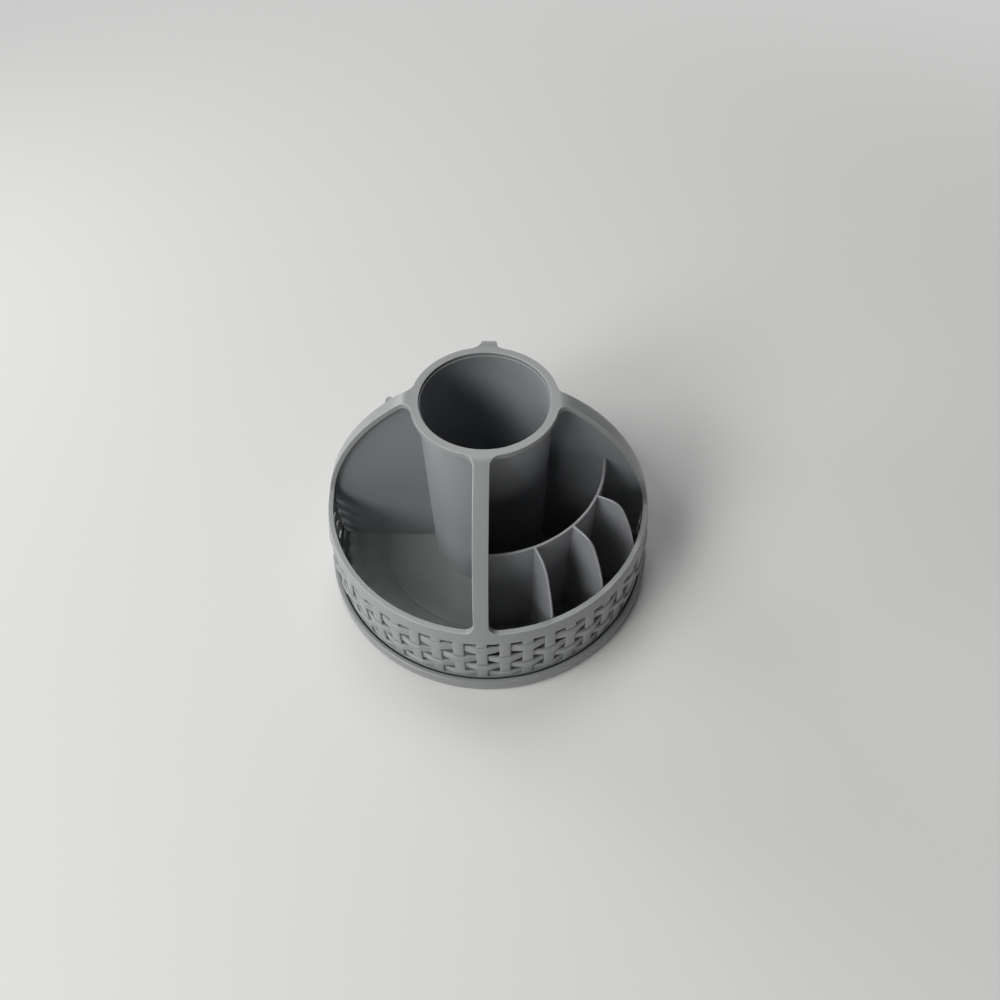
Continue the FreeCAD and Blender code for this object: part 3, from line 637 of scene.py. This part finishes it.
def make_frame():
    """Strips of faces run from each window's edge to the border that it shares with its neighbours."""
    bm = bmesh.new()
    halves = [(face, window_half(face)) for face in (OUTER, INNER)]
    for quarter in range(4):
        place = turned(90 * quarter)
        mirrored = place @ turned(90) @ Matrix.Scale(-1, 4, Vector((0, 1, 0)))
        add_frame_part(bm, halves, place)
        add_frame_part(bm, halves, mirrored)
    return bm


def add_frame_part(bm, halves, place):
    """Half of a window's frame: both faces, the window's edge, the band's lower edge and the mouth's lip."""
    grids = []
    for face, pairs in halves:
        grid = []
        for edge, border in pairs:
            shares = ((row / FRAME_ROWS) ** ROW_SPREAD for row in range(1, FRAME_ROWS))
            line = [edge, *(on_dome(edge.lerp(border, share), face) for share in shares), border]
            grid.append([bm.verts.new(place @ point) for point in line])
        add_strips(bm, grid)
        grids.append(grid)
    outer, inner = grids
    edge = [(out[0], back[0]) for out, back in zip(outer, inner)]
    foot = [(out[-1], back[-1]) for out, back in zip(outer, inner)][-SILL_STEPS - 1:]
    lip = []
    for out, back in zip(outer[:RING_STEPS + 1], inner):
        step = [bm.verts.new((vert.co.x, vert.co.y, LIP_BOTTOM)) for vert in (out[-1], back[-1])]
        lip.append([out[-1], *step, back[-1]])
    for grid in (edge, foot, lip):
        add_strips(bm, grid)


def add_strips(bm, grid):
    """Faces between each line of vertices and the next."""
    for here, there in zip(grid, grid[1:]):
        for row in range(len(here) - 1):
            bm.faces.new((here[row], here[row + 1], there[row + 1], there[row]))


def make_dome_frame():
    piece = make_piece("dome_frame", make_frame(), "caddy", SHELL_PLASTIC, "woven_shell",
                       smooth=40)
    # Rounded edges in a paler colour: a painted highlight.
    soften(piece, SHELL_SOFTNESS, SHELL_EDGE_HIGHLIGHT)


# Inside of the caddy

def make_tray():
    mark_inside, mark_middle, mark_outside = FLOOR_MARK
    bm = lathe(rounded([
        (0, HEM), (mark_inside, HEM, 0.8), (mark_middle, HEM - FLOOR_MARK_DEPTH, 0.8),
        (mark_outside, HEM, 0.8), (SPIGOT_INSIDE, HEM, 0.6), (SPIGOT_INSIDE, SPIGOT_TOP, 0.4),
        (SPIGOT_OUTSIDE, SPIGOT_TOP, 0.4), (SPIGOT_OUTSIDE, HEM, 0.1),
        (TRAY_EDGE, HEM, 0.3), (TRAY_EDGE, TRAY_BOTTOM, 0.4),
        (TRACK_OUTSIDE, TRAY_BOTTOM, 0.1), (TRACK_OUTSIDE, TRAY_TRACK, 0.1),
        (TRACK_INSIDE, TRAY_TRACK, 0.1), (TRACK_INSIDE, TRAY_BOTTOM, 0.1),
        (BOSS, TRAY_BOTTOM, 0.3), (BOSS, BOSS_BOTTOM, 0.3), (PILOT, BOSS_BOTTOM, 0.1), (PILOT, PILOT_TOP),
        (0, PILOT_TOP),
    ]), steps=256)
    make_piece("floor", bm, "caddy", TRAY_PLASTIC, "floor_tray")


def make_core():
    bm = lathe(rounded([(TUBE_INSIDE, HEM), (TUBE, HEM),
                        (TUBE, TUBE_TOP, 0.3), (TUBE_INSIDE, TUBE_TOP, 0.5)]), steps=160)
    make_piece("brush_tube", bm, "caddy", CORE_PLASTIC, "divider_core")
    bm = bmesh.new()
    inner = TUBE - WALL_OVERLAP
    for quarter in range(4):
        add_plate(bm, wall_outline(inner, DIVIDER_TOP), DIVIDER, turned(90 * quarter))
    add_plate(bm, wall_outline(inner, REAR_TOP, REAR_CORNER), REAR_WALL, turned(REAR_ANGLE))
    piece = make_piece("dividers", bm, "caddy", CORE_PLASTIC, "divider_core")
    # Rounded edges in a paler colour: a painted highlight.
    soften(piece, CORE_SOFTNESS, INNER_EDGE_HIGHLIGHT)


def make_insert():
    """The lipstick cells' curved wall, from divider to divider in the front right quarter, and its fins."""
    bm = bmesh.new()
    side = DIVIDER / 2 + PLAY
    quarter_start, quarter_middle = -90, -45
    steps = 72
    edges = []
    for radius in (ARC, ARC - ARC_WALL):
        first = math.asin(side / radius)
        sweep = math.pi / 2 - 2 * first
        edges.append([around(radius, first + sweep * step / steps) for step in range(steps + 1)])
    loop = edges[0] + edges[1][::-1]
    place = turned(quarter_start)
    levels = [[bm.verts.new(place @ Vector((*spot, z))) for spot in loop] for z in (HEM, INSERT_TOP)]
    count = len(loop)
    for index in range(count):
        after = (index + 1) % count
        bm.faces.new((levels[0][index], levels[0][after], levels[1][after], levels[1][index]))
    for level in levels:
        for index in range(steps):
            bm.faces.new((level[index], level[index + 1], level[count - 2 - index], level[count - 1 - index]))
    for fin in range(FINS):
        angle = quarter_middle + FIN_SPACING * (fin - (FINS - 1) / 2)
        add_plate(bm, wall_outline(ARC - ARC_WALL / 2, INSERT_TOP, FIN_CORNER), FIN, turned(angle))
    piece = make_piece("lipstick_cells", bm, "caddy", INSERT_PLASTIC, "lipstick_insert")
    # Rounded edges in a paler colour: a painted highlight.
    soften(piece, INSERT_SOFTNESS, INNER_EDGE_HIGHLIGHT)


# Bearing and pivot

def make_bearing():
    bm = lathe(rounded([(CAGE_INSIDE, CAGE_BOTTOM, 0.25), (CAGE_OUTSIDE, CAGE_BOTTOM, 0.25),
                        (CAGE_OUTSIDE, CAGE_TOP, 0.25), (CAGE_INSIDE, CAGE_TOP, 0.25)]), steps=192)
    make_piece("ball_ring", bm, "bearing", CAGE_PLASTIC, "ball_cage")
    for index in range(BALLS):
        bm = bmesh.new()
        bmesh.ops.create_icosphere(bm, subdivisions=4, radius=BALL)
        move_out(bm, 360 * index / BALLS, BALL_CIRCLE, BALL_LEVEL)
        make_piece(f"steel_ball_{index + 1:02d}", bm, "bearing", BALL_STEEL, f"ball_{index + 1:02d}")


def make_pivot():
    bm = lathe(rounded([(PILOT, WASHER_BOTTOM, 0.1), (WASHER, WASHER_BOTTOM, 0.25),
                        (WASHER, BOSS_BOTTOM, 0.25), (PILOT, BOSS_BOTTOM, 0.1)]), steps=96)
    make_piece("washer", bm, "caddy", SCREW_STEEL, "pivot_washer")
    bm = lathe(rounded([(0, SCREW_BOTTOM), (SCREW_HEAD, SCREW_BOTTOM, 0.7), (SCREW_HEAD, WASHER_BOTTOM, 0.1),
                        (SCREW, WASHER_BOTTOM), (SCREW, SCREW_TOP, 0.4), (0, SCREW_TOP)]), steps=64)
    make_piece("screw", bm, "caddy", SCREW_STEEL, "pivot_screw")


# Studio. Its lengths are in metres.

ROOM = (0.60, 0.60, 0.595, 1.0)
TABLE_WHITE, TABLE_ROUGHNESS, TABLE_SIZE = (0.73, 0.73, 0.727, 1.0), 0.6, 4.0
FADE_START, FADE_END = 0.35, 1.2
FAINT_LIGHT, FAINT_STRENGTH = (0.97, 0.985, 1.0, 1.0), 0.03
AIM = Vector((0, 0, 0.05))
PLAIN, WARM = (1.0, 1.0, 1.0), (1.0, 0.99, 0.97)

# Lamp, compass side and rise in degrees, distance, size across, power and colour
LAMPS = (
    ("window_low", -131, 30, 3.0, 1.3, 37.0, WARM),
    ("window_high", -158, 48, 3.0, 1.5, 40.0, WARM),
    ("left_wall", -176, 14, 2.5, 1.0, 12.0, PLAIN),
    ("back_wall", 140, 22, 3.0, 1.3, 18.0, PLAIN),
    ("ceiling", 92, 60, 3.0, 1.6, 21.0, PLAIN),
)

# The camera that a fit to the photograph's outlines gave, turned into the part's own frame
SENSOR, LENS, NEAREST = 36.0, 25.06, 0.01
CAMERA_PLACE = Vector((16.457, -246.453, 386.007)) * MM
CAMERA_RIGHT = Vector((0.99957, 0.02833, -0.00731))
CAMERA_UP = Vector((-0.01859, 0.80779, 0.58918))


def room_rays(tree):
    """1 for the rays that see the pale room: from the camera, off a gloss or through something clear."""
    path = add_node(tree, "ShaderNodeLightPath").outputs
    direct = maths(tree, "MAXIMUM", path["Is Camera Ray"], path["Is Glossy Ray"])
    return maths(tree, "MAXIMUM", direct, path["Is Transmission Ray"])


def blend_surface(tree, share, plain, room, output):
    """Show a plain shader, and the room's shader by a share."""
    blend = add_node(tree, "ShaderNodeMixShader", {0: share, 1: plain.outputs[0], 2: room.outputs[0]})
    tree.links.new(blend.outputs[0], tree.nodes[output].inputs["Surface"])


def make_stage():
    """A white table that fades into the pale room round it, but throws the light of a plain table."""
    bm = bmesh.new()
    bmesh.ops.create_grid(bm, x_segments=1, y_segments=1, size=TABLE_SIZE)
    table = new_object("table", mesh_from("table", bm))
    material, tree = new_tree("table white")
    shader = tree.nodes["Principled BSDF"]
    shader.inputs["Base Color"].default_value = TABLE_WHITE
    shader.inputs["Roughness"].default_value = TABLE_ROUGHNESS
    place = add_node(tree, "ShaderNodeTexCoord").outputs["Object"]
    reach = add_node(tree, "ShaderNodeVectorMath", {0: place}, operation="LENGTH").outputs["Value"]
    far = add_node(tree, "ShaderNodeMapRange", {"Value": reach, "From Min": FADE_START, "From Max": FADE_END},
                   interpolation_type="SMOOTHSTEP").outputs["Result"]
    room = add_node(tree, "ShaderNodeEmission", {"Color": ROOM})
    blend_surface(tree, maths(tree, "MULTIPLY", far, room_rays(tree)), shader, room, "Material Output")
    table.data.materials.append(material)


def make_light(name, side, rise, distance, size, power, colour):
    """A soft round lamp that faces the part from a compass side and a rise, both in degrees."""
    lamp = bpy.data.lights.new(name, "AREA")
    lamp.shape = "DISK"
    lamp.size = size
    lamp.energy = power
    lamp.color = colour
    light = new_object(name, lamp)
    towards = turned(side) @ Matrix.Rotation(-math.radians(rise), 4, "Y") @ Vector((1, 0, 0))
    light.location = AIM + towards * distance
    light.rotation_euler = towards.to_track_quat("Z", "Y").to_euler()


def make_world():
    """A faint light from all round, where the camera and reflections see a pale room."""
    world = bpy.data.worlds.new("room")
    bpy.context.scene.world = world
    world.use_nodes = True
    tree = world.node_tree
    faint = tree.nodes["Background"]
    faint.inputs["Color"].default_value = FAINT_LIGHT
    faint.inputs["Strength"].default_value = FAINT_STRENGTH
    room = add_node(tree, "ShaderNodeBackground", {"Color": ROOM, "Strength": 1.0})
    blend_surface(tree, room_rays(tree), faint, room, "World Output")


def make_camera():
    camera = bpy.data.cameras.new("camera")
    camera.sensor_width = SENSOR
    camera.lens = LENS
    camera.clip_start = NEAREST
    holder = new_object("camera", camera)
    axes = Matrix((CAMERA_RIGHT, CAMERA_UP, CAMERA_RIGHT.cross(CAMERA_UP)))
    holder.matrix_world = Matrix.Translation(CAMERA_PLACE) @ axes.transposed().to_4x4()
    bpy.context.scene.camera = holder


make_camera()
make_base()
make_feet()
make_weave()
make_dome_frame()
make_tray()
make_core()
make_insert()
make_bearing()
make_pivot()
make_stage()
for lamp in LAMPS:
    make_light(*lamp)
make_world()
bpy.context.scene.view_settings.view_transform = "Standard"
